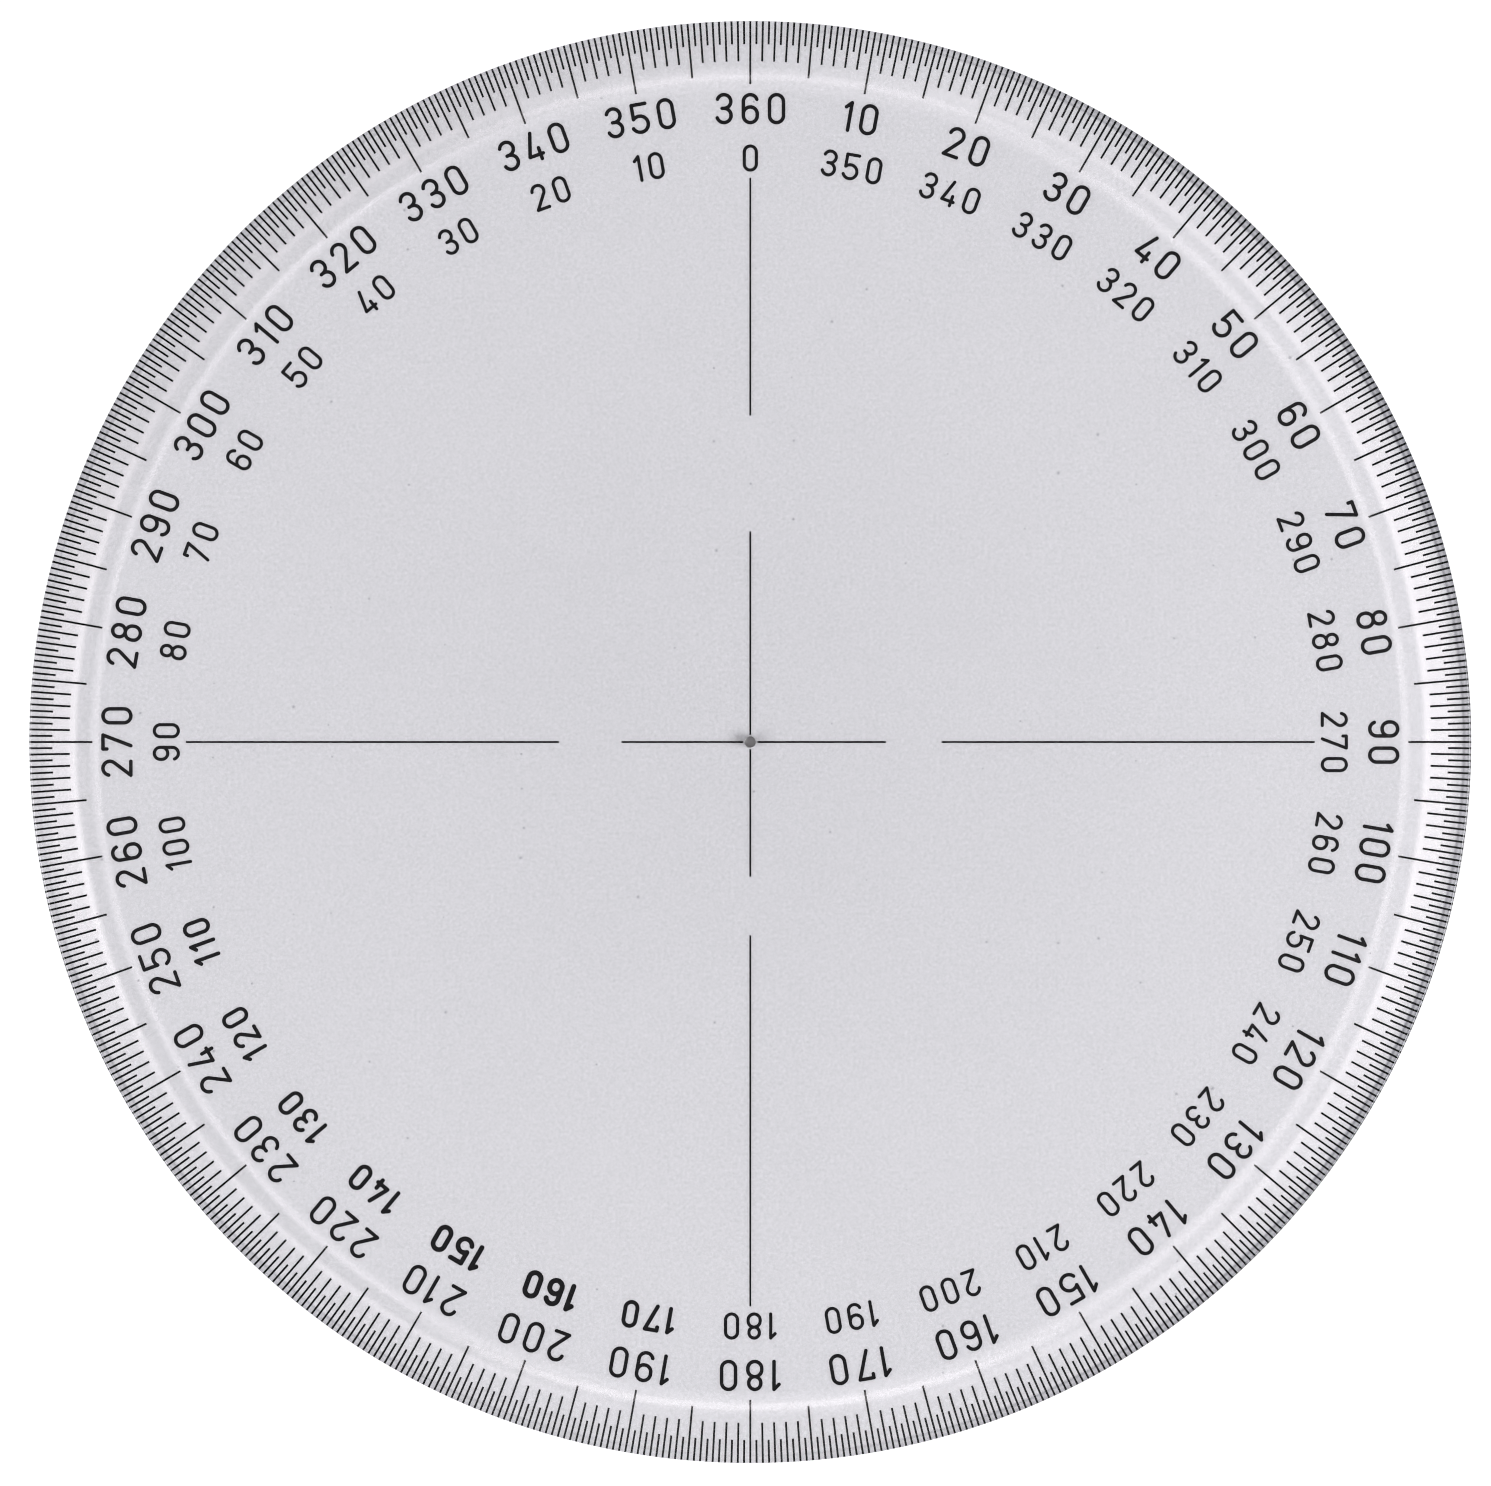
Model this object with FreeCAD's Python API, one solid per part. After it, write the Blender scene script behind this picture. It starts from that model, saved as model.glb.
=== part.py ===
import FreeCAD, Part
import math
import os

# A full-circle drafting protractor, in millimetres.
# The origin is on the axis of the centre hole, in the flat underside that lies on the paper.
# +Z goes up through the plate and +Y points at the 360 mark. Angles run clockwise seen from +Z.
# The marks are grooves engraved in the underside, each filled with black colour, and they are
# read through the clear plate, so that they touch the drawing without parallax.

# Plate
disc_radius = 75.0
plate_thickness = 1.6
rim_thickness = 0.75
facet_width = 6.3
facet_blend_radius = 17.0
rim_edge_radius = 0.2
hole_radius = 0.6

# Engraving
groove_depth = 0.15
fill_recess = 0.01
tool_overrun = 0.1

# Graduation: every half degree, with longer marks at 1, 5 and 10 degrees
mark_width = 0.21
mark_outer_radius = 74.85
half_degree_length = 2.3
degree_length = 4.1
five_degree_length = 5.6
ten_degree_length = 6.45

# Centre cross: each arm has an inner and an outer stroke, with a gap between them
cross_width = 0.19
cross_end_radius = 58.7
cross_hole_clearance = 0.15
cross_arms = {
    "360": (0, 21.9, 33.95),
    "90": (90, 14.1, 19.9),
    "180": (180, 14.0, 20.1),
    "270": (270, 13.4, 19.9),
}

# Numerals: height of a figure from stroke centre to stroke centre, and where its foot stands
outer_height = 2.9
outer_foot_radius = 64.43
outer_stroke = 0.38
inner_height = 2.5
inner_foot_radius = 59.49
inner_stroke = 0.34

# Inner labels where the cutter ran deeper and left a wider stroke
wide_inner_strokes = {110: 0.4, 120: 0.39, 130: 0.41, 140: 0.44, 150: 0.51, 160: 0.53, 170: 0.42}

# Figures are drawn by their stroke centres on a grid whose height is 1
figure_width = 0.5
bowl = 0.25
one_width = 0.18
figure_gap = 0.44

# Where the slanted stroke of the 2 leaves its bowl, and where the bowl of the 5 meets its stem
two_turn = -math.degrees(math.atan2(3, 4))
five_joint = 180 - math.degrees(math.atan2(20, 21))


def at_angle(shape, degrees):
    """A copy of a shape drawn at the 360 mark, turned clockwise to the given angle."""
    turned = shape.copy()
    turned.rotate(FreeCAD.Vector(0, 0, 0), FreeCAD.Vector(0, 0, 1), -degrees)
    return turned


def polar(centre, radius, degrees):
    """The point at a radius and an angle, counter-clockwise from +X, about a centre."""
    angle = math.radians(degrees)
    return centre + FreeCAD.Vector(radius * math.cos(angle), radius * math.sin(angle), 0)


def arc_edge(centre, radius, start, end):
    """The arc from one angle to another, in whichever direction end lies from start."""
    middle = polar(centre, radius, (start + end) / 2)
    return Part.Arc(polar(centre, radius, start), middle, polar(centre, radius, end)).toShape()


def line_edge(start, end):
    return Part.LineSegment(start, end).toShape()


def line_stroke(start, end, width):
    """A straight stroke with round ends."""
    along = end - start
    heading = math.degrees(math.atan2(along.y, along.x))
    half = width / 2
    left, right = heading + 90, heading - 90
    return Part.Face(Part.Wire([
        line_edge(polar(start, half, right), polar(end, half, right)),
        arc_edge(end, half, right, left),
        line_edge(polar(end, half, left), polar(start, half, left)),
        arc_edge(start, half, left, left + 180),
    ]))


def arc_stroke(centre, radius, start, end, width):
    """A curved stroke with round ends, counter-clockwise from start to end."""
    half = width / 2
    return Part.Face(Part.Wire([
        arc_edge(centre, radius + half, start, end),
        arc_edge(polar(centre, radius, end), half, end, end + 180),
        arc_edge(centre, radius - half, end, start),
        arc_edge(polar(centre, radius, start), half, start + 180, start + 360),
    ]))


def stadium(left, right, bottom, top):
    """An upright outline with half-round ends."""
    radius = (right - left) / 2
    low = FreeCAD.Vector(left + radius, bottom + radius, 0)
    high = FreeCAD.Vector(left + radius, top - radius, 0)
    return Part.Wire([
        arc_edge(low, radius, 180, 360),
        line_edge(polar(low, radius, 0), polar(high, radius, 0)),
        arc_edge(high, radius, 0, 180),
        line_edge(polar(high, radius, 180), polar(low, radius, 180)),
    ])


def loop_stroke(left, right, bottom, top, width):
    """A closed loop with half-round ends, such as the figure 0."""
    half = width / 2
    outside = Part.Face(stadium(left - half, right + half, bottom - half, top + half))
    inside = Part.Face(stadium(left + half, right - half, bottom + half, top - half))
    return outside.cut(inside).Faces[0]


# Strokes of each figure, by their centres: a line between two points, an arc about a centre
# counter-clockwise from one angle to another, or a loop between its left, right, foot and head.
figures = {
    "0": [("loop", 0, figure_width, 0, 1)],
    "1": [
        ("line", (one_width, 0), (one_width, 1)),
        ("line", (one_width, 1), (0, 0.82)),
    ],
    "2": [
        ("arc", (bowl, 1 - bowl), bowl, two_turn, 170),
        ("line", (0.45, 0.6), (0, 0)),
        ("line", (0, 0), (figure_width, 0)),
    ],
    "3": [
        ("arc", (0.245, 0.755), 0.245, -90, 160),
        ("line", (0.18, 0.51), (0.245, 0.51)),
        ("arc", (0.245, 0.255), 0.255, -160, 90),
    ],
    "4": [
        ("line", (0.28, 1), (0, 0.18)),
        ("line", (0, 0.18), (figure_width, 0.18)),
        ("line", (0.4, 0.41), (0.4, 0)),
    ],
    "5": [
        ("line", (figure_width, 1), (0, 1)),
        ("line", (0, 1), (0, 0.49)),
        ("arc", (0.21, 0.29), 0.29, -155, five_joint),
    ],
    "6": [
        ("loop", 0, figure_width, 0, 0.56),
        ("line", (0, 0.28), (0, 1 - bowl)),
        ("arc", (bowl, 1 - bowl), bowl, 20, 180),
    ],
    "7": [
        ("line", (0, 0.86), (0, 1)),
        ("line", (0, 1), (figure_width, 1)),
        ("line", (figure_width, 1), (0.12, 0)),
    ],
    "8": [
        ("loop", 0.035, 0.465, 0.545, 1),
        ("loop", 0, figure_width, 0, 0.545),
    ],
    "9": [
        ("loop", 0, figure_width, 0.44, 1),
        ("line", (figure_width, 0.72), (figure_width, bowl)),
        ("arc", (bowl, bowl), bowl, -160, 0),
    ],
}


def stroke_face(stroke, height, width):
    """One stroke of a figure at its real size."""
    kind = stroke[0]
    if kind == "line":
        start, end = [FreeCAD.Vector(x * height, y * height, 0) for x, y in stroke[1:]]
        return line_stroke(start, end, width)
    if kind == "arc":
        centre = FreeCAD.Vector(stroke[1][0] * height, stroke[1][1] * height, 0)
        return arc_stroke(centre, stroke[2] * height, stroke[3], stroke[4], width)
    left, right, foot, head = [side * height for side in stroke[1:]]
    return loop_stroke(left, right, foot, head, width)


def label_marks(text, degrees, height, width, foot_radius):
    """The figures of one label in a straight row, centred on its mark, heads outwards."""
    widths = [height * (one_width if figure == "1" else figure_width) for figure in text]
    gap = figure_gap * height
    left = -(sum(widths) + gap * (len(text) - 1)) / 2
    marks = []
    for figure, advance in zip(text, widths):
        strokes = [stroke_face(stroke, height, width) for stroke in figures[figure]]
        for stroke in strokes:
            stroke.translate(FreeCAD.Vector(left, foot_radius, 0))
        marks.append([at_angle(stroke, degrees) for stroke in strokes])
        left += advance + gap
    return marks


def straight_mark(width, inner_radius, outer_radius, degrees):
    """A radial line, as a mark of one flat stroke."""
    corner = FreeCAD.Vector(-width / 2, inner_radius, 0)
    return [at_angle(Part.makePlane(width, outer_radius - inner_radius, corner), degrees)]


def raised(strokes, bottom, top):
    """The flat strokes of one mark as one solid between two levels."""
    solids = [stroke.extrude(FreeCAD.Vector(0, 0, top - bottom)) for stroke in strokes]
    for solid in solids:
        solid.translate(FreeCAD.Vector(0, 0, bottom))
    if len(solids) == 1:
        return solids[0]
    return solids[0].multiFuse(solids[1:]).removeSplitter().Solids[0]


def graduation_marks():
    """The marks of the edge scale, one every half degree, by the length they have."""
    groups = {
        "half_degree_marks": [],
        "degree_marks": [],
        "five_degree_marks": [],
        "ten_degree_marks": [],
    }
    for step in range(720):
        degrees = step / 2
        if step % 20 == 0:
            name, length = "ten_degree_marks", ten_degree_length
        elif step % 10 == 0:
            name, length = "five_degree_marks", five_degree_length
        elif step % 2 == 0:
            name, length = "degree_marks", degree_length
        else:
            name, length = "half_degree_marks", half_degree_length
        inner_radius = mark_outer_radius - length
        groups[name].append(straight_mark(mark_width, inner_radius, mark_outer_radius, degrees))
    return groups


def cross_marks():
    """The strokes of the centre cross, each a group of its own."""
    groups = {}
    for arm, (degrees, gap_start, gap_end) in cross_arms.items():
        start = hole_radius + cross_hole_clearance
        inner = straight_mark(cross_width, start, gap_start, degrees)
        outer = straight_mark(cross_width, gap_end, cross_end_radius, degrees)
        groups["cross_line_" + arm + "_inner"] = [inner]
        groups["cross_line_" + arm + "_outer"] = [outer]
    return groups


def numeral_marks():
    """Both rings of numerals, each in four groups of nine labels."""
    groups = {}
    for first in (10, 100, 190, 280):
        marks = []
        for value in range(first, first + 90, 10):
            marks += label_marks(str(value), value, outer_height, outer_stroke, outer_foot_radius)
        groups["clockwise_numerals_%d_to_%d" % (first, first + 80)] = marks
    for first in (0, 90, 180, 270):
        marks = []
        for value in range(first, first + 90, 10):
            width = wide_inner_strokes.get(value, inner_stroke)
            marks += label_marks(str(value), -value, inner_height, width, inner_foot_radius)
        groups["counterclockwise_numerals_%d_to_%d" % (first, first + 80)] = marks
    return groups


def rounded_corner(before, corner, after, radius):
    """The arc that rounds a corner between two straight lines."""
    back = (before - corner).normalize()
    ahead = (after - corner).normalize()
    half_angle = back.getAngle(ahead) / 2
    reach = radius / math.tan(half_angle)
    inwards = (back + ahead).normalize()
    middle = corner + inwards * (radius / math.sin(half_angle) - radius)
    return Part.Arc(corner + back * reach, middle, corner + ahead * reach).toShape()


def plate():
    """The clear plate before engraving: flat below, thinned towards the rim by a facet above."""
    hole_foot = FreeCAD.Vector(hole_radius, 0, 0)
    hole_top = FreeCAD.Vector(hole_radius, 0, plate_thickness)
    shoulder = FreeCAD.Vector(disc_radius - facet_width, 0, plate_thickness)
    rim_top = FreeCAD.Vector(disc_radius, 0, rim_thickness)
    rim_foot = FreeCAD.Vector(disc_radius, 0, 0)
    blend = rounded_corner(hole_top, shoulder, rim_top, facet_blend_radius)
    rim_edge = rounded_corner(shoulder, rim_top, rim_foot, rim_edge_radius)
    section = Part.Face(Part.Wire([
        line_edge(hole_top, blend.firstVertex(True).Point),
        blend,
        line_edge(blend.lastVertex(True).Point, rim_edge.firstVertex(True).Point),
        rim_edge,
        line_edge(rim_edge.lastVertex(True).Point, rim_foot),
        line_edge(rim_foot, hole_foot),
        line_edge(hole_foot, hole_top),
    ]))
    return section.revolve(FreeCAD.Vector(0, 0, 0), FreeCAD.Vector(0, 0, 1), 360)


def write(name, shape):
    """Write one piece and say how many solids it holds."""
    shape.exportStep(os.path.join("parts", name + ".step"))
    print(name, len(shape.Solids), "solids, volume", round(shape.Volume, 3), "valid", shape.isValid())


os.makedirs("parts", exist_ok=True)

groups = {}
groups.update(graduation_marks())
groups.update(cross_marks())
groups.update(numeral_marks())

for name, marks in groups.items():
    write(name, Part.makeCompound([raised(mark, fill_recess, groove_depth) for mark in marks]))

all_marks = [mark for marks in groups.values() for mark in marks]
grooves = [raised(mark, -tool_overrun, groove_depth) for mark in all_marks]
write("disc", plate().cut(Part.makeCompound(grooves)))
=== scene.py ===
import math

import bmesh
import bpy
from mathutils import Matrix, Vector


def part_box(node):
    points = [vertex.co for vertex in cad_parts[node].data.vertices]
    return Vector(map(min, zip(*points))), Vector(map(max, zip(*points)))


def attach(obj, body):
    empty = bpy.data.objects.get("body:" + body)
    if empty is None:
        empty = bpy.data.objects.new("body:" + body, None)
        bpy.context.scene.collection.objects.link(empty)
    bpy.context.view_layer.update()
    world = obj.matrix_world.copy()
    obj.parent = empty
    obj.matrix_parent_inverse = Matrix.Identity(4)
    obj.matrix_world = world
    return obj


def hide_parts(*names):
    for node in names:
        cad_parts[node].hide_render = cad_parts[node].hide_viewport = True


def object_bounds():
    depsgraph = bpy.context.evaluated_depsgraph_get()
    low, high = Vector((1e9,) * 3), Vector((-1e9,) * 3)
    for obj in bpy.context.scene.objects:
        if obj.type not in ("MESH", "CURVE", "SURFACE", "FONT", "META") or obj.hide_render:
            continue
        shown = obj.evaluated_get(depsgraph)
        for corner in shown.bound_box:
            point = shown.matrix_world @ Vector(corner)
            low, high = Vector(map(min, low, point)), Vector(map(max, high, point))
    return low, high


# A clear full-circle protractor, in metres, in the same frame as its CAD: the origin is on the
# hole's axis in the flat underside, +Z is up and +Y points at the 360 mark. Left, right and top
# are as the plate is read from above with 360 at the top.

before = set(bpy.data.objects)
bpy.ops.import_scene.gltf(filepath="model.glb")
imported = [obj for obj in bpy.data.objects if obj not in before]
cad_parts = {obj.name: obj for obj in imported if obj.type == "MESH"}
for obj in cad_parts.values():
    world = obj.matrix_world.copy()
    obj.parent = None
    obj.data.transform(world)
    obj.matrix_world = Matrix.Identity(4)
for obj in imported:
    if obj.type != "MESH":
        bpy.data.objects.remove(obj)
cad_low, cad_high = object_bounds()

MM = 0.001

# Plate, as designed
FACET_WIDTH = 6.3 * MM
RIM_THICKNESS = 0.75 * MM
FACET_BLEND_RADIUS = 17.0 * MM
RIM_EDGE_RADIUS = 0.2 * MM
HOLE_RADIUS = 0.6 * MM

# Plate, as a mesh
ROUND_SEGMENTS = 720
BLEND_STEPS = 14
RIM_EDGE_STEPS = 4
FACET_SUPPORTS = (0.02, 0.98)
SHARP_ANGLE = math.radians(30)

# Clear plastic. A fade is a pair: where something is 0, then where it is 1
PLASTIC_IOR = 1.49
PLASTIC_TINT = (0.67, 0.664, 0.69)
WINDOW_TINT = (0.985, 0.985, 0.99)
MOTTLE = (0.79, 1.21)
CLOUD = 0.04
MIDDLE_GREYING = 0.05
MIDDLE_FADE = (60.0 * MM, 0.0)
# Dark tint for the dust specks and the greyer middle, and for the painted shade along the cut rim
DUST_AND_SHADE_TINT = (0.13, 0.135, 0.16)
DUST_SIZE = 0.3 * MM
DUST_SPACING = 4.0 * MM
DUST_SHARE = 0.15
DUST_STRENGTH = 0.4

# The plastic's surface
POLISHED_ROUGHNESS = 0.05
SCUFF_ROUGHNESS = 0.06
MACHINED_ROUGHNESS = 0.14
MACHINED_FADE = (8.0 * MM, 7.0 * MM)
TURNED_PITCH = 0.3 * MM
TURNED_HEIGHT = 0.3
TURNED_FADE = (3.0 * MM, 0.5 * MM)

# The facet's painted highlight and painted shade. Their fades are over the distance in from the rim,
# or over the sine of the clockwise angle from 360, which is 1 at the right and -1 at the left, and
# the top left one is over the cosine of the angle from there
# Painted highlight on the facet, and a lighter painted border on its inside
FACET_HIGHLIGHT_TINT = (0.95, 0.925, 0.95)
FACET_FADE = (5.3 * MM, 4.6 * MM)
HIGHLIGHT_FADE = (1.1 * MM, 2.2 * MM)
HIGHLIGHT_RIGHT = 0.42
HIGHLIGHT_RIGHT_FADE = (0.45, 1.0)
HIGHLIGHT_FAR_RIGHT = 0.25
HIGHLIGHT_FAR_RIGHT_FADE = (0.85, 1.0)
HIGHLIGHT_LEFT = 0.42
HIGHLIGHT_LEFT_FADE = (-0.85, -1.0)
HIGHLIGHT_BORDER = 0.26
HIGHLIGHT_BORDER_FADE = (3.6 * MM, 4.6 * MM)
HIGHLIGHT_BORDER_SIDES_FADE = (0.1, 0.5)
HIGHLIGHT_BORDER_RIGHT_FADE = (1.3, 0.5)
# Painted shade on the facet, and on the blend beside it at the left
FACET_SHADE = 0.03
FACET_SHADE_FADE = (0.9 * MM, 1.3 * MM)
FACET_SHADE_TOP_LEFT = 0.1
FACET_SHADE_TOP_LEFT_FADE = (0.5, 1.0)
TOP_LEFT = math.radians(-45)
BLEND_SHADE = 0.09
BLEND_SHADE_INNER_FADE = (6.6 * MM, 6.0 * MM)
BLEND_SHADE_OUTER_FADE = (4.6 * MM, 5.2 * MM)
BLEND_SHADE_LEFT_FADE = (0.0, -0.5)

# Painted shade in a band along the cut rim
RIM_SHADE_LEFT = 0.5
RIM_SHADE_RIGHT = 0.8
RIM_SHADE_SPREAD = 0.6
UNSHADED_LEFT = 0.75
UNSHADED_RIGHT = 0.3
UNSHADED_FADE = (0.92, 1.0)
RIM_SHADE_START = 0.75 * MM
RIM_SHADE_END = 1.05 * MM
RIM_SHADE_UNEVEN = 0.3 * MM
RIM_SHADE_LINE_AT = 0.8 * MM
RIM_SHADE_LINE_PITCH = 0.6 * MM
RIM_SHADE_LINE_DEPTH = 0.18

# The other materials
DRILLED_DARK = (0.16, 0.16, 0.175)
DRILLED_LIGHT = (0.3, 0.3, 0.32)
FILL_TINT = (1.0, 1.0, 1.12)
FILL_PATCHES = (0.6, 1.5)
PAPER_DARK = (0.9, 0.9, 0.9)
PAPER_LIGHT = (0.92, 0.92, 0.92)

# Camera, floor and room
CAMERA_DISTANCE = 3.0
CAMERA_OFFSET = (-0.0005, -0.0001)
CAMERA_CLIP = (0.01, 20.0)
VIEW_WIDTH = 0.15511
SENSOR_WIDTH = 36.0
FLOOR_GAP = 0.03 * MM
FLOOR_SIZE = 14.0
ROOM_SIDES = (0.42, 0.43, 0.44)
ROOM_ABOVE = (0.06, 0.06, 0.063)
ROOM_ABOVE_FADE = (0.5, 0.95)

# Lamps
WHITE = (1.0, 1.0, 1.0)
STRIP_TONE = (1.0, 0.93, 0.955)
SOFTBOX_DISTANCE = 1.1
SOFTBOX_SIZE = (0.6, 0.6)
STRIP_DISTANCE = 6.0


def new_tree(name):
    """An empty material, its node tree and its output node."""
    material = bpy.data.materials.new(name)
    material.use_nodes = True
    tree = material.node_tree
    tree.nodes.clear()
    return material, tree, tree.nodes.new("ShaderNodeOutputMaterial")


def join(tree, source, target):
    """Link a socket, or set a plain value."""
    if isinstance(source, bpy.types.NodeSocket):
        tree.links.new(source, target)
    else:
        target.default_value = source


def calculate(tree, operation, *values):
    """The result of a Math node on sockets and plain values."""
    node = tree.nodes.new("ShaderNodeMath")
    node.operation = operation
    for value, socket in zip(values, node.inputs):
        join(tree, value, socket)
    return node.outputs[0]


def fade(tree, value, ends):
    """0 at the first end and before it, 1 at the second and past it, and smooth between them."""
    node = tree.nodes.new("ShaderNodeMapRange")
    node.interpolation_type = "SMOOTHSTEP"
    join(tree, value, node.inputs["Value"])
    join(tree, ends[0], node.inputs["From Min"])
    join(tree, ends[1], node.inputs["From Max"])
    return node.outputs["Result"]


def noise(tree, position, scale, detail=2.0, roughness=0.5):
    """A noise pattern between 0 and 1."""
    node = tree.nodes.new("ShaderNodeTexNoise")
    node.inputs["Scale"].default_value = scale
    node.inputs["Detail"].default_value = detail
    node.inputs["Roughness"].default_value = roughness
    tree.links.new(position, node.inputs["Vector"])
    return node.outputs["Fac"]


def colour(value, share=1.0):
    """A colour, or a darker or lighter share of it, with its alpha."""
    return tuple(channel * share for channel in value) + (1.0,)


def blend_colour(tree, factor, first, second):
    """The first colour at factor 0 and the second at 1."""
    node = tree.nodes.new("ShaderNodeMix")
    node.data_type = "RGBA"
    join(tree, factor, node.inputs["Factor"])
    join(tree, first, node.inputs["A"])
    join(tree, second, node.inputs["B"])
    return node.outputs["Result"]


def bumped(tree, height, strength, depth):
    """The normal of a surface with a height pattern on it."""
    node = tree.nodes.new("ShaderNodeBump")
    node.inputs["Strength"].default_value = strength
    node.inputs["Distance"].default_value = depth
    tree.links.new(height, node.inputs["Height"])
    return node.outputs["Normal"]


def principled(tree, settings):
    """A Principled shader, with its inputs set or linked by name."""
    node = tree.nodes.new("ShaderNodeBsdfPrincipled")
    for name, value in settings.items():
        join(tree, value, node.inputs[name])
    return node.outputs["BSDF"]


def object_position(tree):
    """The place on the object, in metres from the origin."""
    return tree.nodes.new("ShaderNodeTexCoord").outputs["Object"]


def around_axis(tree, position):
    """The distance from the hole's axis, and the clockwise angle from the 360 mark."""
    parts = tree.nodes.new("ShaderNodeSeparateXYZ")
    tree.links.new(position, parts.inputs[0])
    x = parts.outputs["X"]
    y = parts.outputs["Y"]
    squares = calculate(tree, "MULTIPLY_ADD", x, x, calculate(tree, "MULTIPLY", y, y))
    return calculate(tree, "SQRT", squares), calculate(tree, "ARCTAN2", x, y)


def specks(tree, position, size, spacing, share):
    """1 inside a small round spot in a share of the cells of a random pattern."""
    cells = tree.nodes.new("ShaderNodeTexVoronoi")
    cells.voronoi_dimensions = "2D"
    cells.inputs["Scale"].default_value = 1 / spacing
    tree.links.new(position, cells.inputs["Vector"])
    parts = tree.nodes.new("ShaderNodeSeparateColor")
    tree.links.new(cells.outputs["Color"], parts.inputs[0])
    chosen = calculate(tree, "LESS_THAN", parts.outputs[0], share)
    reach = calculate(tree, "MULTIPLY", parts.outputs[1], size / spacing)
    spot = fade(tree, cells.outputs["Distance"], (reach, 0.0))
    return calculate(tree, "MULTIPLY", spot, chosen)


def plain_plastic(tree, position, radius):
    """The plate's base colour: finely mottled, unevenly clouded and greyer towards the middle."""
    mottle = noise(tree, position, scale=3000.0, roughness=0.7)
    darker, lighter = [colour(PLASTIC_TINT, share) for share in MOTTLE]
    base = blend_colour(tree, mottle, darker, lighter)
    cloud = calculate(tree, "MULTIPLY", noise(tree, position, scale=45.0), CLOUD)
    greyed = calculate(tree, "MULTIPLY_ADD", fade(tree, radius, MIDDLE_FADE), MIDDLE_GREYING, cloud)
    return blend_colour(tree, greyed, base, colour(DUST_AND_SHADE_TINT))


def facet_painted_highlight(tree, from_rim, side):
    """How much painted highlight lightens the facet: most at the right, with a lighter border on its
    inside.
    """
    right = calculate(tree, "MULTIPLY", fade(tree, side, HIGHLIGHT_RIGHT_FADE), HIGHLIGHT_RIGHT)
    far_right = fade(tree, side, HIGHLIGHT_FAR_RIGHT_FADE)
    sides = calculate(tree, "MULTIPLY_ADD", far_right, HIGHLIGHT_FAR_RIGHT, right)
    sides = calculate(tree, "MULTIPLY_ADD", fade(tree, side, HIGHLIGHT_LEFT_FADE), HIGHLIGHT_LEFT, sides)
    sides = calculate(tree, "MULTIPLY", sides, fade(tree, from_rim, HIGHLIGHT_FADE))
    border = fade(tree, calculate(tree, "ABSOLUTE", side), HIGHLIGHT_BORDER_SIDES_FADE)
    border = calculate(tree, "MULTIPLY", border, fade(tree, side, HIGHLIGHT_BORDER_RIGHT_FADE))
    border = calculate(tree, "MULTIPLY", border, fade(tree, from_rim, HIGHLIGHT_BORDER_FADE))
    both = calculate(tree, "MULTIPLY_ADD", border, HIGHLIGHT_BORDER, sides)
    return calculate(tree, "MULTIPLY", both, fade(tree, from_rim, FACET_FADE))


def facet_painted_shade(tree, from_rim, side, angle):
    """How much painted shade darkens the facet, most at the top left, and the blend beside it at the
    left.
    """
    to_top_left = calculate(tree, "COSINE", calculate(tree, "SUBTRACT", angle, TOP_LEFT))
    top_left = fade(tree, to_top_left, FACET_SHADE_TOP_LEFT_FADE)
    facet = calculate(tree, "MULTIPLY_ADD", top_left, FACET_SHADE_TOP_LEFT, FACET_SHADE)
    facet = calculate(tree, "MULTIPLY", facet, fade(tree, from_rim, FACET_FADE))
    facet = calculate(tree, "MULTIPLY", facet, fade(tree, from_rim, FACET_SHADE_FADE))
    on_blend = fade(tree, from_rim, BLEND_SHADE_INNER_FADE)
    on_blend = calculate(tree, "MULTIPLY", on_blend, fade(tree, from_rim, BLEND_SHADE_OUTER_FADE))
    on_blend = calculate(tree, "MULTIPLY", on_blend, fade(tree, side, BLEND_SHADE_LEFT_FADE))
    return calculate(tree, "MULTIPLY_ADD", on_blend, BLEND_SHADE, facet)


def rim_painted_shade(tree, position, from_rim, side):
    """How much painted shade darkens a band along the cut rim: none at 360 and 180, less at 90 and 270
    than on either side of them, and more at the right than at the left."""
    aside = calculate(tree, "ABSOLUTE", side)
    right = calculate(tree, "GREATER_THAN", side, 0.0)
    most = calculate(tree, "MULTIPLY_ADD", right, RIM_SHADE_RIGHT - RIM_SHADE_LEFT, RIM_SHADE_LEFT)
    most = calculate(tree, "MULTIPLY", most, calculate(tree, "POWER", aside, RIM_SHADE_SPREAD))
    unshaded = calculate(tree, "MULTIPLY_ADD", right, UNSHADED_RIGHT - UNSHADED_LEFT, UNSHADED_LEFT)
    unshaded = calculate(tree, "MULTIPLY", unshaded, fade(tree, aside, UNSHADED_FADE))
    most = calculate(tree, "MULTIPLY", most, calculate(tree, "SUBTRACT", 1.0, unshaded))

    end = calculate(tree, "MULTIPLY_ADD", noise(tree, position, scale=120.0), RIM_SHADE_UNEVEN, RIM_SHADE_END)
    band = fade(tree, from_rim, (end, RIM_SHADE_START))
    inward = calculate(tree, "SUBTRACT", from_rim, RIM_SHADE_LINE_AT)
    lines = calculate(tree, "COSINE", calculate(tree, "MULTIPLY", inward, math.tau / RIM_SHADE_LINE_PITCH))
    lines = calculate(tree, "MULTIPLY_ADD", lines, RIM_SHADE_LINE_DEPTH, 1.0 - RIM_SHADE_LINE_DEPTH)
    return calculate(tree, "MULTIPLY", calculate(tree, "MULTIPLY", band, lines), most)


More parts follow.
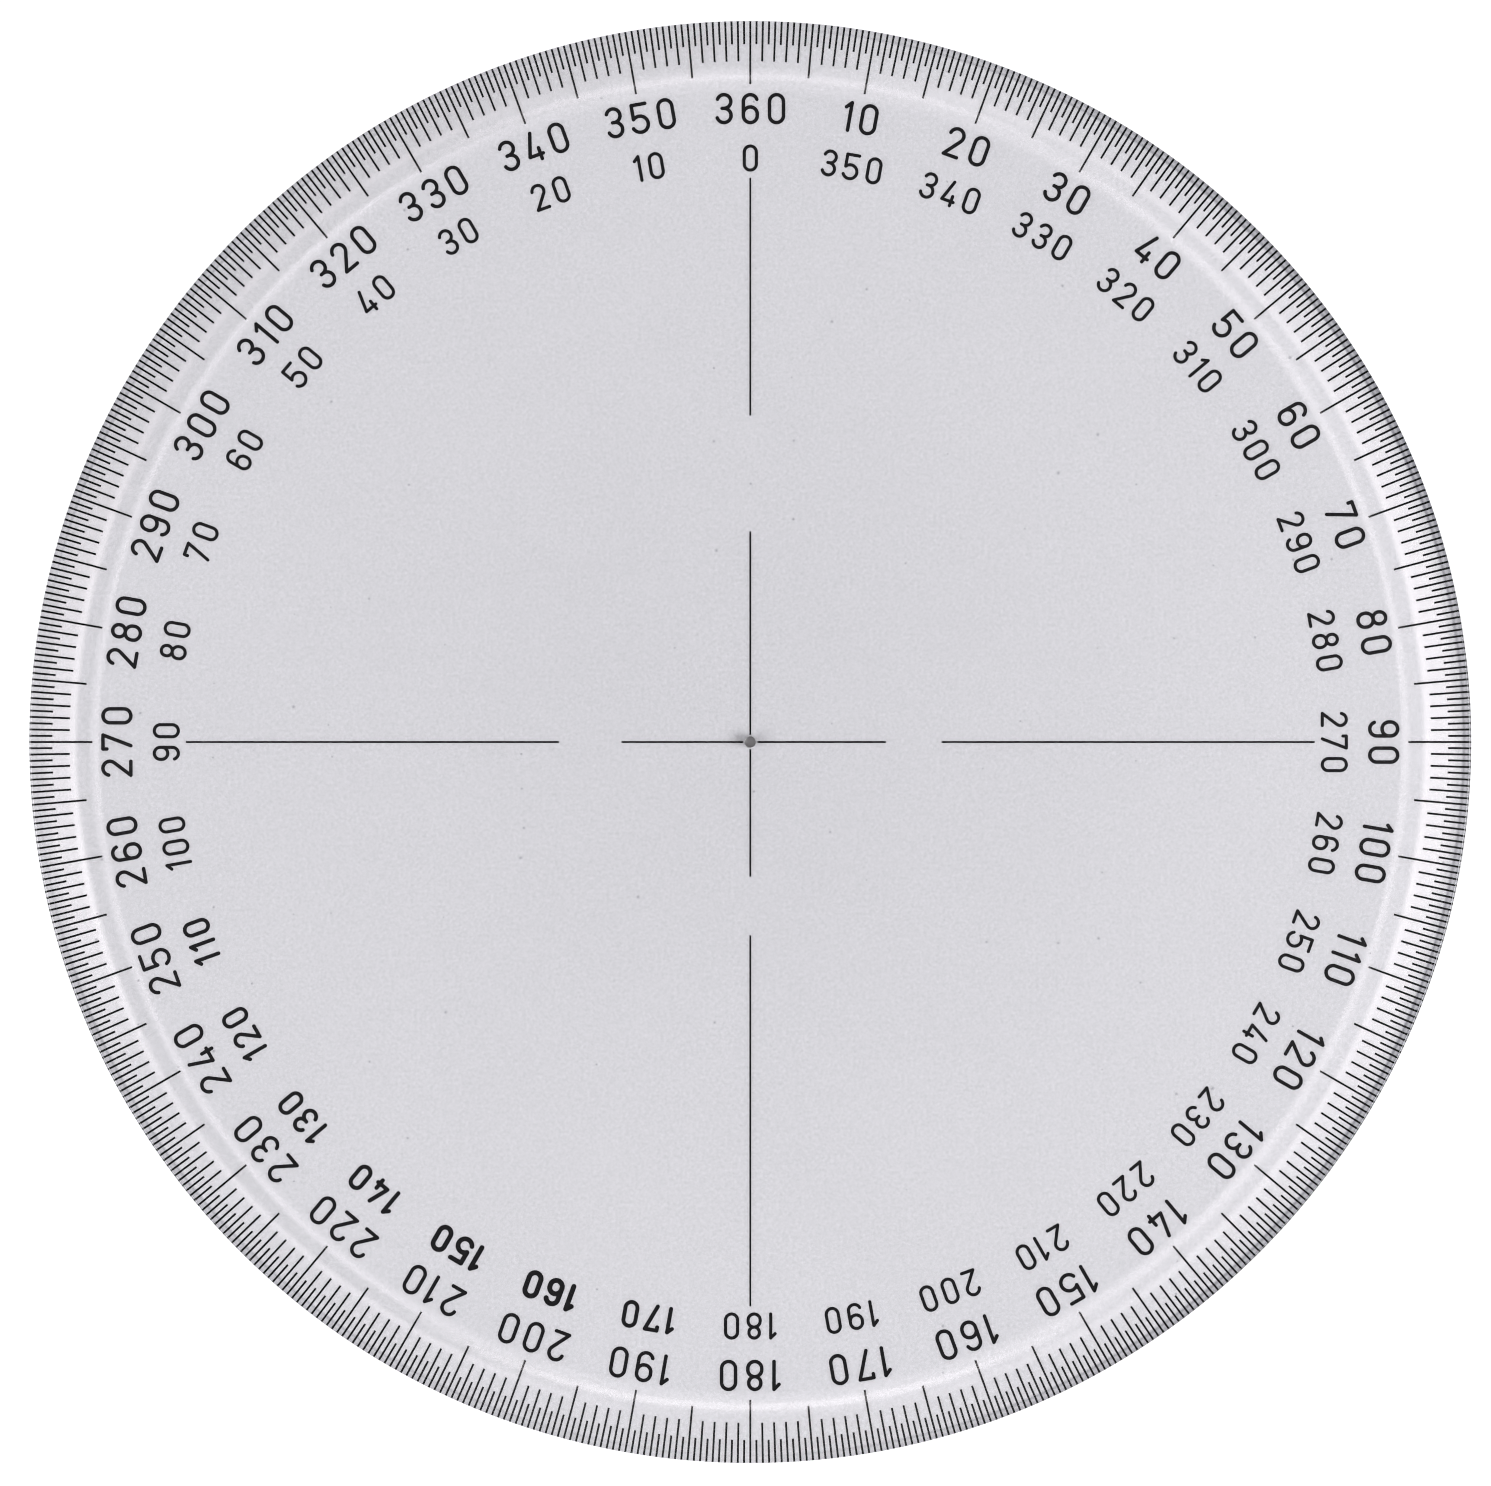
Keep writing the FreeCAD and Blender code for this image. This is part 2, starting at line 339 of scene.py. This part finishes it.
def plastic_surface(tree, position, radius, from_rim):
    """The plastic's roughness, and its normal: scuffs all over and turned rings beside the rim."""
    scuffs = noise(tree, position, scale=900.0, detail=4.0, roughness=0.7)
    rings = calculate(tree, "SINE", calculate(tree, "MULTIPLY", radius, math.tau / TURNED_PITCH))
    turned = calculate(tree, "MULTIPLY", rings, fade(tree, from_rim, TURNED_FADE))
    height = calculate(tree, "MULTIPLY_ADD", turned, TURNED_HEIGHT, scuffs)
    scuffed = calculate(tree, "MULTIPLY_ADD", scuffs, SCUFF_ROUGHNESS, POLISHED_ROUGHNESS)
    machined = calculate(tree, "MULTIPLY", fade(tree, from_rim, MACHINED_FADE), MACHINED_ROUGHNESS)
    roughness = calculate(tree, "MAXIMUM", scuffed, machined)
    return roughness, bumped(tree, height, strength=0.05, depth=0.02 * MM)


def clear_plastic():
    """Slightly grey acrylic, a little scuffed and dusty all over, with painted highlight and painted
    shade on its facet and painted shade along its cut rim.
    """
    material, tree, output = new_tree("clear_plastic")
    position = object_position(tree)
    radius, angle = around_axis(tree, position)
    side = calculate(tree, "SINE", angle)
    from_rim = calculate(tree, "SUBTRACT", cad_high.x, radius)

    base = plain_plastic(tree, position, radius)
    # Painted highlight: the facet lighter at the right and left, with a lighter border on its inside
    base = blend_colour(tree, facet_painted_highlight(tree, from_rim, side), base, colour(FACET_HIGHLIGHT_TINT))
    # Painted shade: the facet darker at the top left, and the blend beside it at the left
    base = blend_colour(tree, facet_painted_shade(tree, from_rim, side, angle), base, (0.0, 0.0, 0.0, 1.0))
    # Painted shade: a dark band along the cut rim, with fine lines in it
    base = blend_colour(tree, rim_painted_shade(tree, position, from_rim, side), base, colour(DUST_AND_SHADE_TINT))
    dust = specks(tree, position, DUST_SIZE, DUST_SPACING, DUST_SHARE)
    dust = calculate(tree, "MULTIPLY", dust, DUST_STRENGTH)
    base = blend_colour(tree, dust, base, colour(DUST_AND_SHADE_TINT))

    roughness, normal = plastic_surface(tree, position, radius, from_rim)
    plastic = principled(tree, {
        "Transmission Weight": 1.0,
        "IOR": PLASTIC_IOR,
        "Base Color": base,
        "Roughness": roughness,
        "Normal": normal,
    })
    tree.links.new(lit_through(tree, plastic), output.inputs["Surface"])
    return material


def lit_through(tree, plastic):
    """The plastic as it is seen, and a plain clear window for the light that reaches the paper."""
    window = tree.nodes.new("ShaderNodeBsdfTransparent")
    window.inputs["Color"].default_value = colour(WINDOW_TINT)
    path = tree.nodes.new("ShaderNodeLightPath")
    passing = calculate(tree, "MAXIMUM", path.outputs["Is Shadow Ray"], path.outputs["Is Diffuse Ray"])
    switch = tree.nodes.new("ShaderNodeMixShader")
    tree.links.new(passing, switch.inputs[0])
    tree.links.new(plastic, switch.inputs[1])
    tree.links.new(window.outputs[0], switch.inputs[2])
    return switch.outputs[0]


def drilled_plastic():
    """The matt wall that a drill leaves in the plastic."""
    material, tree, output = new_tree("drilled_plastic")
    grain = noise(tree, object_position(tree), scale=4000.0, detail=3.0)
    wall = principled(tree, {
        "Base Color": blend_colour(tree, grain, colour(DRILLED_DARK), colour(DRILLED_LIGHT)),
        "Roughness": 0.6,
        "Normal": bumped(tree, grain, strength=0.4, depth=0.02 * MM),
    })
    tree.links.new(wall, output.inputs["Surface"])
    return material


def black_fill(name, brightness, roughness):
    """Black colour set in the engraving: matt, slightly uneven and grainy."""
    material, tree, output = new_tree(name)
    position = object_position(tree)
    patch = noise(tree, position, scale=700.0, detail=3.0)
    grain = noise(tree, position, scale=6000.0)
    darker, lighter = [colour(FILL_TINT, brightness * share) for share in FILL_PATCHES]
    fill = principled(tree, {
        "Base Color": blend_colour(tree, patch, darker, lighter),
        "Specular IOR Level": 0.1,
        "Roughness": calculate(tree, "MULTIPLY_ADD", grain, 0.2, roughness),
        "Normal": bumped(tree, grain, strength=0.3, depth=0.01 * MM),
    })
    tree.links.new(fill, output.inputs["Surface"])
    return material


def floor_paper():
    """Plain white paper, with no shine."""
    material, tree, output = new_tree("floor_paper")
    grain = noise(tree, object_position(tree), scale=300.0)
    paper = principled(tree, {
        "Base Color": blend_colour(tree, grain, colour(PAPER_DARK), colour(PAPER_LIGHT)),
        "Roughness": 0.9,
        "Specular IOR Level": 0.0,
    })
    tree.links.new(paper, output.inputs["Surface"])
    return material


def arc_points(before, corner, after, radius, steps):
    """Points on the arc that rounds a corner of a section, from its start to its end."""
    back = (before - corner).normalized()
    ahead = (after - corner).normalized()
    half_angle = back.angle(ahead) / 2
    centre = corner + (back + ahead).normalized() * (radius / math.sin(half_angle))
    reach = radius / math.tan(half_angle)
    first = corner + back * reach - centre
    last = corner + ahead * reach - centre
    sweep = first.angle_signed(last)
    points = []
    for step in range(steps + 1):
        turn = -sweep * step / steps
        points.append(centre + Vector((
            first.x * math.cos(turn) - first.y * math.sin(turn),
            first.x * math.sin(turn) + first.y * math.cos(turn),
        )))
    return points


def plate_section():
    """The plate's outline in radius and height, from the foot of the hole round to the rim's foot."""
    low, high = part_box("disc")
    hole_foot = Vector((HOLE_RADIUS, low.z))
    hole_top = Vector((HOLE_RADIUS, high.z))
    shoulder = Vector((high.x - FACET_WIDTH, high.z))
    rim_top = Vector((high.x, low.z + RIM_THICKNESS))
    rim_foot = Vector((high.x, low.z))
    blend = arc_points(hole_top, shoulder, rim_top, FACET_BLEND_RADIUS, BLEND_STEPS)
    rim_edge = arc_points(shoulder, rim_top, rim_foot, RIM_EDGE_RADIUS, RIM_EDGE_STEPS)
    # Two more rings close to the facet's ends keep the rounds' shading off its flat middle
    facet = [blend[-1].lerp(rim_edge[0], share) for share in FACET_SUPPORTS]
    return [hole_foot, hole_top] + blend + facet + rim_edge + [rim_foot]


def turned_mesh(section):
    """The solid that a closed section makes around the Z axis, its first face being the hole's wall."""
    mesh = bmesh.new()
    rings = []
    for point in section:
        ring = []
        for step in range(ROUND_SEGMENTS):
            angle = math.tau * step / ROUND_SEGMENTS
            ring.append(mesh.verts.new((point.x * math.cos(angle), point.x * math.sin(angle), point.y)))
        rings.append(ring)
    rings.append(rings[0])
    for index, (inner, outer) in enumerate(zip(rings, rings[1:])):
        for step in range(ROUND_SEGMENTS):
            following = (step + 1) % ROUND_SEGMENTS
            face = mesh.faces.new((inner[step], inner[following], outer[following], outer[step]))
            face.smooth = True
            face.material_index = 1 if index == 0 else 0
    bmesh.ops.recalc_face_normals(mesh, faces=mesh.faces)
    for edge in mesh.edges:
        if edge.calc_face_angle() > SHARP_ANGLE:
            edge.smooth = False
    return mesh


def add_disc(plastic, wall):
    """The plate turned from its section, closed over the engraving so that the fill sits inside."""
    mesh = turned_mesh(plate_section())
    data = bpy.data.meshes.new("clear_disc")
    mesh.to_mesh(data)
    mesh.free()
    data.materials.append(plastic)
    data.materials.append(wall)
    piece = bpy.data.objects.new("clear_disc", data)
    bpy.context.scene.collection.objects.link(piece)
    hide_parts("disc")
    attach(piece, "root")


def dress(piece, material):
    """Give a carried-over CAD piece its finish, and no shadow to double its mark on the paper."""
    if not piece.material_slots:
        piece.data.materials.append(material)
    for slot in piece.material_slots:
        slot.material = material
    piece.visible_shadow = False


def dress_engraving():
    """Finish the black fill: slightly blacker in the lines than in the numerals."""
    line_black = black_fill("line_black", brightness=0.003, roughness=0.55)
    numeral_black = black_fill("numeral_black", brightness=0.004, roughness=0.6)
    for node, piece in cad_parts.items():
        if "numerals" in node:
            dress(piece, numeral_black)
        elif node != "disc":
            dress(piece, line_black)


def add_floor():
    """A wide sheet of paper just under the plate."""
    half = FLOOR_SIZE / 2
    data = bpy.data.meshes.new("floor")
    corners = [(-half, -half, 0), (half, -half, 0), (half, half, 0), (-half, half, 0)]
    data.from_pydata(corners, [], [(0, 1, 2, 3)])
    data.materials.append(floor_paper())
    floor = bpy.data.objects.new("floor", data)
    floor.location.z = cad_low.z - FLOOR_GAP
    bpy.context.scene.collection.objects.link(floor)


def add_lamp(name, towards, distance, size, radiance, tone):
    """An area lamp aimed at the origin, at two angles in degrees from the vertical, to +X and to +Y."""
    data = bpy.data.lights.new(name, "AREA")
    data.shape = "RECTANGLE"
    data.size, data.size_y = size
    data.energy = radiance * math.pi * size[0] * size[1]
    data.color = tone
    lamp = bpy.data.objects.new(name, data)
    right, ahead = [math.tan(math.radians(angle)) for angle in towards]
    lamp.location = Vector((right, ahead, 1)).normalized() * distance
    lamp.rotation_euler = (-math.radians(towards[1]), math.radians(towards[0]), 0)
    lamp.visible_camera = False
    bpy.context.scene.collection.objects.link(lamp)


def add_softbox(name, towards, radiance):
    """A large lamp for the whole plate."""
    add_lamp(name, towards, SOFTBOX_DISTANCE, SOFTBOX_SIZE, radiance, WHITE)


def add_strip(name, towards, size, radiance):
    """A far, narrow lamp that the rounded blend beside the facet mirrors as a bright line."""
    add_lamp(name, towards, STRIP_DISTANCE, size, radiance, STRIP_TONE)


def add_lamps():
    """Two softboxes, and four strips in the directions that the facet's blend mirrors."""
    add_softbox("left_softbox", towards=(-40, -15), radiance=5.3)
    add_softbox("right_softbox", towards=(40, -15), radiance=8.5)
    add_strip("left_strip", towards=(-5.2, 0), size=(0.26, 1.8), radiance=5.0)
    add_strip("right_strip", towards=(5.8, 0), size=(0.46, 1.8), radiance=4.8)
    add_strip("front_strip", towards=(0, -12.6), size=(1.2, 0.5), radiance=7.0)
    add_strip("back_strip", towards=(0, 12.9), size=(1.2, 0.45), radiance=5.0)


def add_world():
    """An even pale room, darker straight above."""
    world = bpy.data.worlds.new("room")
    world.use_nodes = True
    tree = world.node_tree
    towards = tree.nodes.new("ShaderNodeTexCoord").outputs["Generated"]
    parts = tree.nodes.new("ShaderNodeSeparateXYZ")
    tree.links.new(towards, parts.inputs[0])
    above = fade(tree, parts.outputs["Z"], ROOM_ABOVE_FADE)
    room = blend_colour(tree, above, colour(ROOM_SIDES), colour(ROOM_ABOVE))
    tree.links.new(room, tree.nodes["Background"].inputs["Color"])
    bpy.context.scene.world = world


def add_camera():
    """A camera straight above the plate."""
    data = bpy.data.cameras.new("camera")
    data.sensor_width = SENSOR_WIDTH
    data.lens = SENSOR_WIDTH * CAMERA_DISTANCE / VIEW_WIDTH
    data.clip_start, data.clip_end = CAMERA_CLIP
    camera = bpy.data.objects.new("camera", data)
    camera.location = (*CAMERA_OFFSET, CAMERA_DISTANCE)
    bpy.context.scene.collection.objects.link(camera)
    bpy.context.scene.camera = camera


add_disc(clear_plastic(), drilled_plastic())
dress_engraving()
add_floor()
add_world()
add_camera()
add_lamps()
bpy.context.scene.view_settings.view_transform = "Standard"
bpy.context.scene.cycles.filter_width = 1.0
